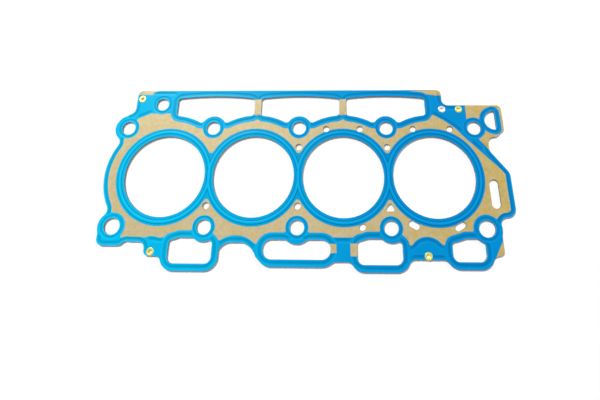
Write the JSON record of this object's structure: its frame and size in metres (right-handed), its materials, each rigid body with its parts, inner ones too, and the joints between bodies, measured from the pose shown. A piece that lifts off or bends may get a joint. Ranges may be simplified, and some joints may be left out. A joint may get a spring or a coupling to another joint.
{
  "type": "cylinder head gasket",
  "caption": "Multi-layer steel cylinder head gasket with round bore openings, elastomer-coated sealing tracks, bolt and oil holes, and clinched eyelets.",
  "frame": {"origin": "centre of the pattern of the four inner head bolts, on the line of the bores, at the block face", "axes": "+X along the row of bores towards the end with the D-shaped drain, +Y towards the side with the three windows, +Z towards the cylinder head"},
  "size_m": [0.3798, 0.1694, 0.002],
  "materials": {
    "elastomer_coat": "satin blue film of elastomer, about 0.04 mm thick",
    "bare_steel": "bare stainless sheet with a straw-gold tint, fine mottle",
    "carrier_steel": "plain blanked steel",
    "eyelet_brass": "pale yellow plated eyelet",
    "eyelet_plated": "white plated eyelet"
  },
  "bodies": {
    "root": {"upper_coat": "elastomer_coat", "upper_sheet": "bare_steel", "carrier_sheet": "carrier_steel", "brass_eyelets": "eyelet_brass", "plated_eyelet": "eyelet_plated"}
  },
  "joints": []
}
